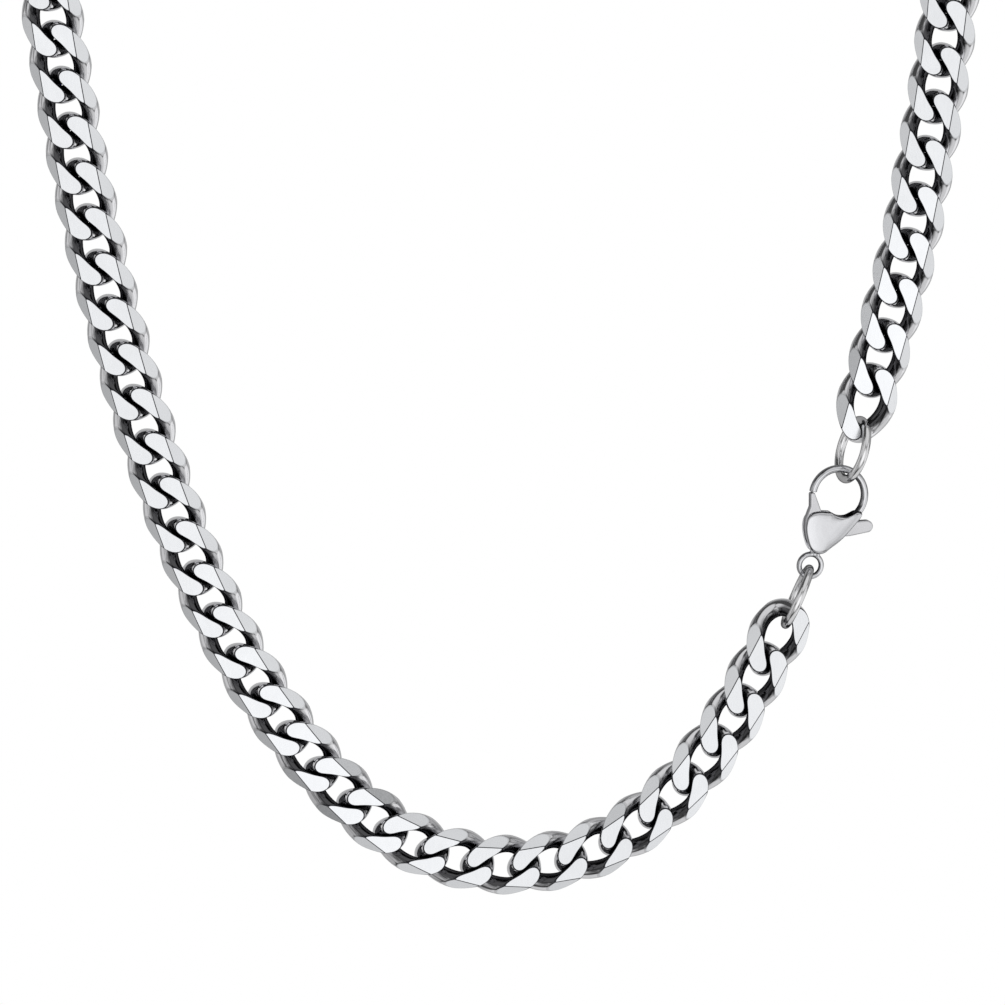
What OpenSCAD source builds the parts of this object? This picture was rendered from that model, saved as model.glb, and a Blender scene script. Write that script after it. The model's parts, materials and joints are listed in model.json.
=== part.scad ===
// Curb chain necklace with a lobster clasp and two jump rings, in polished steel.
// It keeps the form that it has when worn: the front hangs in one upright plane,
// and the rest goes over the shoulders and round the nape. Millimetres, +Z up,
// the front faces -Y, and the origin is where the back of the chain rests on the nape.

/* [Chain] */
// Distance from one link to the next
link_pitch = 7.37; // [7.2:0.01:7.6]
// Diameter of the wire that a link is bent from
wire_d = 2.55; // [2.4:0.05:2.6]
// Width of the opening inside a link
opening_w = 4.3; // [4.2:0.05:4.8]
// Free play of a link's end in the next link, along the chain
link_play = 0.38; // [0.25:0.01:0.45]
// How far each end of a link is turned against its middle, in degrees
end_twist = 50; // [48:1:54]
// Squareness of the link's oval, where 2 is an ellipse
oval_power = 2.5; // [2.4:0.1:3]
// Thickness of the chain over its ground front and back
chain_t = 3.7; // [3:0.1:4.1]
// Width of the ground flat between its two bevels
flat_w = 6.1; // [4.8:0.1:6.4]
// Slope of the ground bevels against the flat, in degrees
bevel_slope = 38; // [35:1:55]

/* [Jump rings] */
// Outside diameter of a jump ring
ring_od = 10.8; // [10.6:0.05:11]
// Diameter of a jump ring's wire
ring_wire = 1.4; // [1.2:0.05:1.5]
// Gap between the upper ring and the end link that it hangs from
upper_ring_gap = 0.25; // [0.2:0.01:0.3]
// Gap between the upper ring and the hook that hangs from it
hook_gap = 0.2; // [0.15:0.01:0.3]
// Gap between the lower ring and the end link that hangs from it
lower_ring_gap = 0.5; // [0.45:0.01:0.6]
// Lean of the upper ring from upright, in degrees
upper_ring_lean = 17.5; // [16:0.5:19]
// Turn of the upper ring out of the front plane, in degrees
upper_ring_turn = 80; // [70:1:90]
// Lean of the lower ring from upright, in degrees
lower_ring_lean = 23.8; // [22:0.1:26]
// Turn of the lower ring out of the front plane, in degrees
lower_ring_turn = 99; // [90:1:105]

/* [Clasp] */
// Lean of the clasp from upright, in degrees
clasp_lean = 17.3; // [16:0.1:19]
// Length of the clasp body's face, up from its neck
body_l = 8.2; // [8:0.1:8.4]
// Width of the clasp body's face
body_w = 8.6; // [8.2:0.1:9]
// Thickness of the clasp body
body_t = 3.0; // [2.8:0.1:3.6]
// Height of the rounded rim round the body's two faces
rim = 0.5; // [0.3:0.05:0.6]
// Distance from the tail eye's centre to the hook's centre, along the clasp
hook_z = 11.9; // [11.9:0.1:12.4]
// Distance of the hook's centre to the right of the tail eye's centre
hook_x = 1.1; // [1:0.05:1.2]
// Radius of the hook, to the middle of its wire
hook_r = 4.25; // [4.2:0.05:4.35]
// Thickness of the hook's wire across the curve
hook_wire = 1.05; // [0.9:0.05:1.2]
// Depth of the hook's wire, front to back
hook_depth = 1.6; // [1.4:0.1:2]
// Inside radius of the tail eye
eye_r = 1.45; // [1.4:0.05:1.6]
// Gap between the tail eye and the lower ring
eye_gap = 0.12; // [0.1:0.01:0.2]
// Thickness of the tail eye's rim
eye_rim = 0.7; // [0.6:0.05:0.9]
// Depth of the tail eye, front to back
eye_depth = 1.2; // [1:0.1:1.6]
// Width of the neck between the tail eye and the body
neck_w = 1.5; // [1.2:0.1:1.8]
// Thickness of the lever
lever_t = 1.45; // [1.2:0.05:1.6]
// Clearance on each side of the lever in its slot
lever_gap = 0.08; // [0.05:0.01:0.12]
// Radius of the lever's thumb tab
tab_r = 0.95; // [0.8:0.05:1.1]
// Radius of the gate's rounded tip
gate_tip_r = 0.4; // [0.3:0.05:0.45]
// Gap between the closed gate and the hook's end
gate_gap = 0.2; // [0.18:0.01:0.3]
// Diameter of the lever pin
pin_d = 1.0; // [0.8:0.05:1.1]
// Radial clearance of the lever on its pin
pin_gap = 0.05; // [0.02:0.01:0.1]
// Radial clearance of the pin in the body
pin_seat_gap = 0.02; // [0.01:0.01:0.04]
// Metal left over each end of the pin
pin_cover = 0.25; // [0.2:0.05:0.35]

/* [Hidden] */

// Sections round a link and sides of its wire
sections = 14;
sides = 6;
// Half length and half width of a link's oval, along the middle of its wire
oval_a = (link_pitch + wire_d + link_play) / 2;
oval_b = (opening_w + wire_d) / 2;

// The closure from below: the lower end link, its ring, the clasp, the upper ring and the
// upper end link. Each hangs in the one before it, and leans as the photograph shows.
function leaning(angle) = [sin(angle), 0, cos(angle)];
ring_r = (ring_od - ring_wire) / 2;
ring_seat = (wire_d + ring_wire) / 2;
lower_link_at = [44.4, -73.2, -158.2];
lower_link_lean = 30;
upper_link_lean = 15.6;
lower_ring_at = lower_link_at + oval_a * leaning(lower_link_lean)
                + (ring_r - ring_seat - lower_ring_gap) * leaning(lower_ring_lean);
eye_drop = eye_r - ring_wire / 2 - eye_gap;
clasp_at = lower_ring_at + ring_r * leaning(lower_ring_lean) + eye_drop * leaning(clasp_lean);
hook_at = clasp_at + hook_z * leaning(clasp_lean) + hook_x * leaning(clasp_lean + 90);
hook_reach = hook_r - (hook_wire + ring_wire) / 2 - hook_gap;
upper_ring_at = hook_at + (hook_reach + ring_r) * leaning(upper_ring_lean);
upper_link_at = upper_ring_at + (ring_r - ring_seat - upper_ring_gap) * leaning(upper_ring_lean)
                + oval_a * leaning(upper_link_lean);

// Where the chain goes: a point of its middle line, then the way its face looks.
// It starts at the lower end link beside the clasp, runs under the front and up the
// left side, round the nape, and down to the upper end link above the clasp.
route = [
    concat(lower_link_at,   [ 0,   -1,    0]),
    [ 37.0,  -73.2, -171.1,   0,   -1,    0.02],
    [ 27.3,  -73.2, -182.8,  -0.02, -1,   0],
    [ 14.7,  -73.2, -190.6,   0,   -1,   -0.03],
    [  0,    -73.2, -192.4,   0,   -1,   -0.06],
    [-14.3,  -73.2, -188.2,  -0.07, -1,  -0.1],
    [-26.1,  -73.2, -179.1,  -0.16, -1,  -0.14],
    [-35.6,  -73.2, -167.4,  -0.25, -1,  -0.14],
    [-43.4,  -73.2, -154.8,  -0.32, -1,  -0.12],
    [-49.7,  -73.2, -141.2,  -0.36, -1,  -0.1],
    [-54.9,  -73.2, -127.1,  -0.38, -1,  -0.1],
    [-59.2,  -73.2, -113.0,  -0.39, -1,  -0.1],
    [-62.9,  -73.2,  -98.9,  -0.39, -1,  -0.1],
    [-66.0,  -73.2,  -84.8,  -0.39, -1,  -0.1],
    [-68.6,  -73.2,  -70.7,  -0.39, -1,  -0.08],
    [-70.9,  -73.2,  -56.5,  -0.38, -1,  -0.03],
    [-72.4,  -71.8,  -42.5,  -0.37, -1,   0.1],
    [-72.9,  -66.6,  -28.0,  -0.35, -1,   0.5],
    [-72.0,  -56.2,  -17.0,  -0.3, -0.63, 0.78],
    [-68.0,  -42.3,  -10.3,  -0.2, -0.32, 0.9],
    [-59.5,  -28.3,   -6.2,  -0.15, -0.18, 0.98],
    [-47.0,  -15.6,   -3.2,  -0.2,  0.09, 0.97],
    [-31.5,   -6.4,   -0.6,  -0.09, 0.28, 0.94],
    [-15.5,   -1.0,    0.9,  -0.07, 0.46, 0.9],
    [  0,      0.8,    1.4,   0,    0.5,  0.87],
    [ 15.5,   -1.0,    0.9,   0.07, 0.46, 0.9],
    [ 31.5,   -6.4,   -0.6,   0.15, 0.33, 0.94],
    [ 47.0,  -15.6,   -3.2,   0.2,  0.15, 0.97],
    [ 59.5,  -28.3,   -6.2,   0.12, -0.04, 0.98],
    [ 68.0,  -42.3,  -10.3,   0,   -0.36,  0.95],
    [ 72.0,  -56.2,  -17.0,  -0.16, -0.62, 0.8],
    [ 73.2,  -66.6,  -28.0,  -0.28, -0.9, 0.5],
    [ 73.2,  -71.8,  -42.5,  -0.38, -1,   0.12],
    [ 72.2,  -73.2,  -56.5,  -0.42, -1,   0.08],
    [ 70.5,  -73.2,  -70.7,  -0.42, -1,   0.08],
    [ 68.0,  -73.2,  -85.0,  -0.4, -1,    0.08],
    [ 65.1,  -73.2,  -99.3,  -0.3, -1,    0.06],
    concat(upper_link_at,   [-0.1, -1,    0])
];

// Points of the smooth line through the route, and the length run at each
steps = 12;
function spline(a, b, c, d, t) =
    0.5 * (2 * b + (c - a) * t + (2 * a - 5 * b + 4 * c - d) * t * t
           + (3 * b - 3 * c + d - a) * t * t * t);
function row(i) = route[max(0, min(len(route) - 1, i))];
function xyz(v) = [v[0], v[1], v[2]];
line = [for (i = [0:len(route) - 2], k = [0:steps - 1])
            spline(row(i - 1), row(i), row(i + 1), row(i + 2), k / steps),
        row(len(route) - 1)];
run = [for (i = 0, s = 0; i < len(line);
            s = s + (i + 1 < len(line) ? norm(xyz(line[i + 1]) - xyz(line[i])) : 0), i = i + 1) s];
columns = [for (c = [0:5]) [for (i = [0:len(line) - 1]) [run[i], line[i][c]]]];
route_length = run[len(run) - 1];

// Number of links that fit, the even step that brings them to the route's end, and the
// share of them in the front run
links = round(route_length / link_pitch) + 1;
link_step = route_length / (links - 1);
front_share = 0.44;
front_links = round(links * front_share);

// How far along the route a link lies. Under the front the links are drawn taut, and up
// the left side they hang a little closer, as in the photograph.
drift = 2.2;
drift_links = 34;
drift_skew = 1.15;
function at_link(i) = i * link_step
    + (i < drift_links ? drift * sin(180 * pow(i / drift_links, drift_skew)) : 0);

function unit(v) = v / norm(v);
function middle(s) = [for (c = [0:2]) lookup(s, columns[c])];
function facing(s) = [for (c = [3:5]) lookup(s, columns[c])];
function along(s) = unit(middle(s + link_step / 2) - middle(s - link_step / 2));

// Frame of a link: X along the chain, Z out of its face
function link_frame(s) =
    let (x = along(s), f = facing(s), z = unit(f - (f * x) * x), y = cross(z, x), p = middle(s))
    [[x[0], y[0], z[0], p[0]], [x[1], y[1], z[1], p[1]], [x[2], y[2], z[2], p[2]], [0, 0, 0, 1]];

// Middle of a link's wire at angle a round the oval, turned about X as far as x has run
function power(v, e) = sign(v) * pow(abs(v), e);
function oval(a) = [oval_a * power(cos(a), 2 / oval_power), oval_b * power(sin(a), 2 / oval_power)];
function twist_at(x) = -end_twist * x / oval_a;
function wire_middle(a) =
    let (p = oval(a), t = twist_at(p[0])) [p[0], p[1] * cos(t), p[1] * sin(t)];
// What the grinding leaves of a wire section round point c: six corners, in the plane
// of out and over. Each is as far out as the wire goes, or as the nearest ground face.
// Two corners on each side follow the ends of the flat and the edge where it meets a bevel.
face_h = chain_t / 2;
face_edge = flat_w / 2;
bevel_reach = sin(bevel_slope) * face_edge + cos(bevel_slope) * face_h;
function ground_radius(c, dir) =
    let (to_flat = dir[2] == 0 ? wire_d : (face_h - sign(dir[2]) * c[2]) / abs(dir[2]),
         side = c[1] < 0 ? -1 : 1,
         front = dir[2] < 0 ? -1 : 1,
         steep = sin(bevel_slope) * side * dir[1] + cos(bevel_slope) * front * dir[2],
         room = bevel_reach - sin(bevel_slope) * side * c[1] - cos(bevel_slope) * front * c[2],
         to_bevel = steep <= 0 ? wire_d : room / steep)
    min(wire_d / 2, to_flat, to_bevel);
function ground_pair(c, lie, front) =
    let (reach = min(1, max(-1, (face_h - front * c[2]) / lie / (wire_d / 2))),
         half = max(30, acos(reach)),
         edge = atan2(face_h - front * c[2], face_edge - abs(c[1])),
         first = min(120, max(90 - half, edge)))
    [first, min(160, max(90 + half, first + 30))];
function wire_ring(a) =
    let (c = wire_middle(a),
         ahead = unit(wire_middle(a + 1) - wire_middle(a - 1)),
         out = unit([ahead[1], -ahead[0], 0]),
         over = cross(out, ahead),
         top = ground_pair(c, over[2], 1),
         under = ground_pair(c, over[2], -1))
    [for (angle = [0, top[0], top[1], 180, 360 - under[1], 360 - under[0]])
        let (dir = cos(angle) * out + sin(angle) * over) c + ground_radius(c, dir) * dir];

// A link: wire bent to an oval, twisted flat and ground on its two faces
module link() {
    points = [for (i = [0:sections - 1]) each wire_ring(360 * i / sections)];
    faces = [for (i = [0:sections - 1], j = [0:sides - 1])
        let (i2 = (i + 1) % sections, j2 = (j + 1) % sides)
        each [[i * sides + j, i * sides + j2, i2 * sides + j],
              [i * sides + j2, i2 * sides + j2, i2 * sides + j]]];
    polyhedron(points, faces);
}

module chain_run(first, last) {
    for (i = [first:last]) multmatrix(link_frame(at_link(i))) link();
}

module jump_ring() {
    rotate([90, 0, 0]) rotate_extrude($fn = 96) translate([ring_r, 0]) circle(d = ring_wire, $fn = 48);
}

module placed_clasp() {
    translate(clasp_at) rotate([0, clasp_lean, 0]) children();
}

// Plan shapes lie in the front plane, with their second number up the clasp
module plan(depth) {
    rotate([90, 0, 0]) linear_extrude(depth, center = true) children();
}

function arc(c, r, from, to, n) =
    [for (k = [0:n]) c + r * [cos(from + (to - from) * k / n), sin(from + (to - from) * k / n)]];

// Where a point of the body's face lies, from its shares of the face's width and length
neck_z = eye_r + eye_rim;
function on_face(share) = [share[0] * body_w, neck_z + share[1] * body_l];

hook_centre = [hook_x, hook_z];
hook_end_angle = 186;
hook_root_angle = -35;
slot_t = lever_t + 2 * lever_gap;
pivot = on_face([-0.163, 0.311]);

// Outline of the body's faces: a teardrop that narrows to the neck
body_shares = [[-0.093, 0.006], [0.128, 0.006], [0.209, 0.128], [0.314, 0.262], [0.413, 0.409],
               [0.488, 0.567], [0.558, 0.726], [0.628, 0.884], [0.64, 0.982], [0.535, 1],
               [0.047, 0.835], [-0.105, 0.811], [-0.256, 0.75], [-0.337, 0.665], [-0.36, 0.543],
               [-0.326, 0.372], [-0.221, 0.177]];
function body_point(i) = on_face(body_shares[(i + len(body_shares)) % len(body_shares)]);
body_outline = [for (i = [0:len(body_shares) - 1], t = [0, 0.5])
    spline(body_point(i - 1), body_point(i), body_point(i + 1), body_point(i + 2), t)];

// The body's top is dished, as part of a circle that lies a little right of the hook's
saddle_r = hook_r - hook_wire;
saddle_shift = [0.25, 0.03];
saddle_centre = hook_centre + saddle_shift * saddle_r;

// The room for the lever between the two plates, open left, right and at the gate
slot_shares = [[-0.58, 0.11], [0.81, 0.11], [0.81, 0.939], [0.651, 0.884], [0.18, 0.713],
               [0.157, 0.75], [0.157, 0.909], [-0.58, 0.909]];

// A pad with rounded rims: the outline in layers from the back face to the front, each as
// [share of the rim's height, scale about the middle of the face]
rim_shares = [[1, 0.86], [0.6, 0.95], [0, 1]];
layers = concat([for (r = rim_shares) [-body_t / 2 + (1 - r[0]) * rim, r[1]]],
                [for (i = [2, 1, 0]) [body_t / 2 - (1 - rim_shares[i][0]) * rim, rim_shares[i][1]]]);
face_middle = on_face([0.08, 0.55]);
module body_pad() {
    n = len(body_outline);
    points = [for (l = layers, p = body_outline)
        let (q = face_middle + l[1] * (p - face_middle)) [q[0], -l[0], q[1]]];
    walls = [for (k = [0:len(layers) - 2], i = [0:n - 1])
        [k * n + i, (k + 1) * n + i, (k + 1) * n + (i + 1) % n, k * n + (i + 1) % n]];
    polyhedron(points, concat(walls, [[for (i = [0:n - 1]) i]],
                              [[for (i = [n - 1:-1:0]) (len(layers) - 1) * n + i]]));
}

// A bar with round long edges, bent round a circle in the front plane
module bent_bar(radius, across, depth, from, to) {
    rotate([90, 0, 0]) rotate([0, 0, from]) rotate_extrude(angle = to - from, $fn = 96)
        translate([radius, 0]) {
            square([across, depth - across], center = true);
            for (side = [-1, 1])
                translate([0, side * (depth - across) / 2]) circle(d = across, $fn = 32);
        }
}

module across_rod(at, radius, length) {
    translate([at[0], 0, at[1]]) rotate([90, 0, 0])
        cylinder(r = radius, h = length, center = true, $fn = 64);
}

// The neck runs from the middle of the tail eye's rim into the body, a little to the right
neck_t = eye_depth + eye_rim / 2;
neck_l = (eye_rim + neck_w) / 2;
neck_x = neck_w / 8;
module neck() {
    translate([neck_x, 0, eye_r + (eye_rim + neck_l) / 2])
        cube([neck_w, neck_t, neck_l], center = true);
}

module body_metal() {
    difference() {
        body_pad();
        across_rod(saddle_centre, saddle_r, body_t + 1);
    }
    translate([hook_x, 0, hook_z])
        bent_bar(hook_r, hook_wire, hook_depth, hook_root_angle, hook_end_angle);
    bent_bar(eye_r + eye_rim / 2, eye_rim, eye_depth, 0, 360);
    neck();
}

module clasp_body() {
    color("#d8d9dc") placed_clasp() difference() {
        body_metal();
        plan(slot_t) polygon([for (share = slot_shares) on_face(share)]);
        across_rod(pivot, pin_d / 2 + pin_seat_gap, body_t - 2 * pin_cover);
    }
}

// The gate ends just under the hook's end
gate_tip = hook_centre + hook_r * [cos(hook_end_angle), sin(hook_end_angle)]
           - [0, gate_gap + gate_tip_r];
tab_centre = on_face([0.808, 0.762]);

// The lever from its gate over its top to the tab, and back along its underside
top_shares = [[-0.14, 0.835], [-0.023, 0.64], [0.209, 0.64], [0.651, 0.829]];
underside_shares = [[0.547, 0.494], [0.174, 0.36], [0.047, 0.262], [-0.07, 0.177], [-0.174, 0.14],
                    [-0.244, 0.226], [-0.32, 0.396], [-0.36, 0.567], [-0.343, 0.835]];
lever_outline = concat(
    arc(gate_tip, gate_tip_r, 180, 20, 8),
    [for (share = top_shares) on_face(share)],
    arc(tab_centre, tab_r, 110, -70, 10),
    [for (share = underside_shares) on_face(share)]);

module clasp_lever() {
    color("#c9cacf") placed_clasp() difference() {
        plan(lever_t) polygon(lever_outline);
        across_rod(pivot, pin_d / 2 + pin_gap, body_t);
    }
}

module lever_pin() {
    color("#b5b7bc") placed_clasp()
        across_rod(pivot, pin_d / 2, body_t - 2 * pin_cover - 2 * pin_seat_gap);
}

module chain_front() {
    color("#dcdde0") chain_run(0, front_links - 1);
}

module chain_back() {
    color("#dcdde0") chain_run(front_links, links - 1);
}

module jump_ring_upper() {
    color("#cfd0d4") translate(upper_ring_at) rotate([0, upper_ring_lean, 0])
        rotate([0, 0, -upper_ring_turn]) jump_ring();
}

module jump_ring_lower() {
    color("#cfd0d4") translate(lower_ring_at) rotate([0, lower_ring_lean, 0])
        rotate([0, 0, -lower_ring_turn]) jump_ring();
}

chain_front();
chain_back();
jump_ring_upper();
jump_ring_lower();
clasp_body();
clasp_lever();
lever_pin();
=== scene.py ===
# %% [markdown]
# # A curb chain necklace in polished steel
# The necklace is a closed loop of twisted links, ground flat on both faces, with a lobster
# clasp between two jump rings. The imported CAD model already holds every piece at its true
# place. This script keeps those places and gives each piece the finer shape and the polish
# that the coarse solids leave out.

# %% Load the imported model
import json
import math

import bmesh
import bpy
import numpy as np
from mathutils import Matrix, Vector

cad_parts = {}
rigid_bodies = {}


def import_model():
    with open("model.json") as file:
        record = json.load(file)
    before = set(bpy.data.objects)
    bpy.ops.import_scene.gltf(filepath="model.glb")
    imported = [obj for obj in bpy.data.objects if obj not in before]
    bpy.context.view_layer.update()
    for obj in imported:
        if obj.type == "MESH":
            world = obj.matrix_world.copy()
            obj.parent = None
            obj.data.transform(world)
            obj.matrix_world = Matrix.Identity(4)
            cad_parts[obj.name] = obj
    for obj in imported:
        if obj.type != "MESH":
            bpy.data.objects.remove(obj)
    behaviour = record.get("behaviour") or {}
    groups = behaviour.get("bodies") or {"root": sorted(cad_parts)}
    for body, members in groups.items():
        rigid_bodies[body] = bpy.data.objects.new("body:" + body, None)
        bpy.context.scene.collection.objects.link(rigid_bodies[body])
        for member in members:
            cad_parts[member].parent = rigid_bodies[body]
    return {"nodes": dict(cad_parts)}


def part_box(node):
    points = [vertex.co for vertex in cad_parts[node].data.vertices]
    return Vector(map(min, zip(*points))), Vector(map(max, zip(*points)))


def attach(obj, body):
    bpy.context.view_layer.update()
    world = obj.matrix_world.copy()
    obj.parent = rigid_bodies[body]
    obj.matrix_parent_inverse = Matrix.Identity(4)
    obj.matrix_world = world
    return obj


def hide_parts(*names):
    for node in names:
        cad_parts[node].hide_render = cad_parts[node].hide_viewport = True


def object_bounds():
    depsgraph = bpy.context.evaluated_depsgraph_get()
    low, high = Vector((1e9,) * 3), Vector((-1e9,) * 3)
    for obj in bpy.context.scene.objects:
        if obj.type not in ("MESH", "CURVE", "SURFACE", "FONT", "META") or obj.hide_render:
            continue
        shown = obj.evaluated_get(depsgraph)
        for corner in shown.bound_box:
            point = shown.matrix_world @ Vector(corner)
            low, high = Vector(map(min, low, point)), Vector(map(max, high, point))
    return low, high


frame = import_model()
cad_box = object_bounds()
# The frame is in metres
MM = 0.001
print("CAD box, mm:", [[round(c / MM, 1) for c in corner] for corner in cad_box])

# %% [markdown]
# ## The camera
# A long lens flattens the necklace, as in a shop photograph. It stands a little to the
# viewer's left and a little above, so the left side walls and the tops of the links show.
# Its lens follows from how much of the chain's front plane fills the square picture.

# %% Place the camera
VIEW_AZIMUTH = math.radians(-14)
VIEW_ELEVATION = math.radians(9)
VIEW_DISTANCE = 1.4
SENSOR_WIDTH = 36
FARTHEST_SEEN = 20
PICTURE_WIDTH = 156.8 * MM
FRONT_PLANE_Y = -73.2 * MM
AIM = Vector((0, FRONT_PLANE_Y, -134.85 * MM))

to_camera = Vector((
    math.sin(VIEW_AZIMUTH) * math.cos(VIEW_ELEVATION),
    -math.cos(VIEW_AZIMUTH) * math.cos(VIEW_ELEVATION),
    math.sin(VIEW_ELEVATION),
))
camera_data = bpy.data.cameras.new("photo_camera")
camera_data.sensor_width = SENSOR_WIDTH
camera_data.lens = SENSOR_WIDTH * VIEW_DISTANCE / PICTURE_WIDTH
camera_data.clip_end = FARTHEST_SEEN
camera = bpy.data.objects.new("photo_camera", camera_data)
camera.location = AIM + to_camera * VIEW_DISTANCE
camera.rotation_euler = (-to_camera).to_track_quat("-Z", "Y").to_euler()
bpy.context.scene.collection.objects.link(camera)
bpy.context.scene.camera = camera
print("lens", round(camera_data.lens, 1), "mm")

# %% [markdown]
# ## The room that the steel reflects
# Polished steel has no colour of its own: it shows the room. A jeweller's studio is mostly
# dark, with white panels where light is wanted: one in front for the ground faces, others
# to the right, above, left and below for the bevels, and the lit backdrop behind, which
# gives every rounded piece a light rim. Four dim panels fill the darkest gaps, so that the
# necklace also looks right from its sides. Lamps would only give small hard spots on steel
# this smooth. A world shader can hold the whole room: it reads the direction of each
# reflected ray, and answers with the brightest panel there.

# %% Helpers for shader nodes
def add_node(tree, kind, settings=None, **inputs):
    """Adds a node, sets its own properties, and sets or links each input by name or number."""
    node = tree.nodes.new(kind)
    for key, value in (settings or {}).items():
        setattr(node, key, value)
    for key, value in inputs.items():
        socket = node.inputs[int(key[1:])] if key[1:].isdigit() else node.inputs[key.replace("_", " ")]
        if isinstance(value, bpy.types.NodeSocket):
            tree.links.new(value, socket)
        else:
            socket.default_value = value
    return node


def node_math(tree, operation, first, second=0.0, third=0.0):
    return add_node(tree, "ShaderNodeMath", {"operation": operation}, i0=first, i1=second,
                    i2=third).outputs[0]


def smooth_step(tree, value, start, end, low=0.0, high=1.0):
    """Goes softly from low to high while the value goes from start to end."""
    return add_node(tree, "ShaderNodeMapRange", {"interpolation_type": "SMOOTHSTEP"}, Value=value,
                    From_Min=start, From_Max=end, To_Min=low, To_Max=high).outputs[0]


def mix_colour(tree, amount, first, second):
    """A colour between two others. A Mix node's colours are its inputs 6 and 7."""
    return add_node(tree, "ShaderNodeMix", {"data_type": "RGBA"}, i0=amount, i6=first,
                    i7=second).outputs[2]


WHITE = (1, 1, 1, 1)
world = bpy.data.worlds.new("studio")
bpy.context.scene.world = world
world.use_nodes = True
studio = world.node_tree
studio.nodes.clear()
direction = add_node(studio, "ShaderNodeTexCoord").outputs["Generated"]
print("the room is the world", world.name)

# %% Hang the panels
ROOM_LEVEL = 0.06
# Direction from the necklace, radius of the even part and of the whole in degrees, brightness
PANELS = {
    "front": ((-0.15, -0.96, -0.20), 14, 44, 1.08),
    "right": ((0.76, -0.63, -0.12), 22, 34, 0.77),
    "lower right": ((0.84, 0.02, -0.55), 16, 28, 0.9),
    "top": ((0.22, -0.48, 0.85), 30, 42, 0.70),
    "upper left": ((-0.72, -0.50, 0.48), 18, 30, 0.66),
    "left": ((-0.97, 0.18, 0.08), 16, 30, 0.62),
    "lower left": ((-0.84, 0.29, -0.42), 24, 36, 0.44),
    "bottom": ((0.20, 0.03, -0.98), 32, 44, 0.66),
    "fill left": ((-0.79, -0.52, -0.34), 10, 26, 0.45),
    "fill right": ((0.94, 0.02, 0.35), 10, 26, 0.45),
    "fill above": ((0.38, 0.23, 0.90), 10, 26, 0.45),
    "fill below": ((0.29, -0.51, -0.81), 10, 24, 0.4),
    "backdrop": (tuple(-to_camera), 15, 85, 0.6),
}


def panel_glow(toward, even, whole, level):
    """Brightness of one round panel, even in its middle and soft towards its edge."""
    dot = add_node(studio, "ShaderNodeVectorMath", {"operation": "DOT_PRODUCT"}, i0=direction,
                   i1=Vector(toward).normalized())
    return smooth_step(studio, dot.outputs["Value"], math.cos(math.radians(whole)),
                       math.cos(math.radians(even)), low=ROOM_LEVEL, high=level)


glows = [panel_glow(*panel) for panel in PANELS.values()]
brightness = glows[0]
for glow in glows[1:]:
    brightness = node_math(studio, "MAXIMUM", brightness, glow)
print(len(PANELS), "panels in the room")

# %% [markdown]
# ## White behind the necklace
# The paper behind the necklace is plain white in the photograph, while the steel reflects the
# dark room. A real backdrop would also show in the steel. The Light Path node tells the two
# apart: a ray straight from the camera sees white, and a reflected ray sees the panels.

# %% Close the room
is_seen = add_node(studio, "ShaderNodeLightPath").outputs["Is Camera Ray"]
room = mix_colour(studio, is_seen, brightness, WHITE)
background = add_node(studio, "ShaderNodeBackground", Color=room, Strength=1.0)
add_node(studio, "ShaderNodeOutputWorld", Surface=background.outputs[0])
bpy.context.scene.view_settings.view_transform = "Standard"
print(len(studio.nodes), "nodes in the room's shader")

# %% [markdown]
# ## Floor
# The photograph has no visible ground: the paper under and behind the chain is plain white.
# A wide pale disc far below the necklace stands for it. It glows evenly, and only the camera
# sees it, so it puts no light or shade on the steel.

# %% Lay the paper floor
FLOOR_GAP = 60 * MM
FLOOR_R = 3.0
FLOOR_SIDES = 96
paper = bpy.data.materials.new("white_paper")
paper.use_nodes = True
paper.node_tree.nodes.clear()
paper_glow = add_node(paper.node_tree, "ShaderNodeEmission", Color=WHITE, Strength=1.0)
add_node(paper.node_tree, "ShaderNodeOutputMaterial", Surface=paper_glow.outputs[0])

floor_mesh = bpy.data.meshes.new("paper_floor")
floor_shape = bmesh.new()
bmesh.ops.create_circle(floor_shape, cap_ends=True, segments=FLOOR_SIDES, radius=FLOOR_R,
                        matrix=Matrix.Translation((0, 0, cad_box[0].z - FLOOR_GAP)))
floor_shape.to_mesh(floor_mesh)
floor_shape.free()
floor_mesh.materials.append(paper)
floor = bpy.data.objects.new("paper_floor", floor_mesh)
floor.visible_diffuse = False
floor.visible_glossy = False
floor.visible_shadow = False
bpy.context.scene.collection.objects.link(floor)
print("floor at z =", round((cad_box[0].z - FLOOR_GAP) / MM), "mm")

# %% [markdown]
# ## The size of a link
# A curb link is an oval of round wire, and its two neighbours lie in its opening. On the real
# chain they touch. The CAD links are of 2.55 mm wire, because loose solids have to stay clear
# of each other, and the render would show that as gaps. So the wire is a little thicker here,
# with the same pitch and the same ground faces. All sizes of a link are in millimetres.

# %% Sizes of a link
LINK_PITCH = 7.37
WIRE_D = 2.8
OPENING_W = 3.95
END_TWIST = math.radians(50)
OVAL_POWER = 2.5
CHAIN_T = 3.7
FLAT_W = 6.1
BEVEL_SLOPE = math.radians(38)
OVAL_A = (LINK_PITCH + WIRE_D) / 2
OVAL_B = (OPENING_W + WIRE_D) / 2
print("link", round(2 * OVAL_A + WIRE_D, 2), "by", round(2 * OVAL_B + WIRE_D, 2), "mm")

# %% [markdown]
# ## Steel finishes
# Five finishes tell the pieces apart. The ground faces of the links carry the faint grain of
# the belt that cut them. The bent wire between them has only been tumbled, so it is
# smoother. The rings, the clasp and the lever are bought parts, each a little darker or
# duller. A plain grey metal would look like plastic, because real polish is never even. So
# the tone, the roughness and a very fine bump vary with noise, which is read in object
# space and stays fixed on a piece when it moves.

# %% Mix the bent wire's steel
DRIFT_SCALE = 260.0
ROUGHNESS_SWING = 0.25
GRAIN_RELIEF = 0.01 * MM


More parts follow.
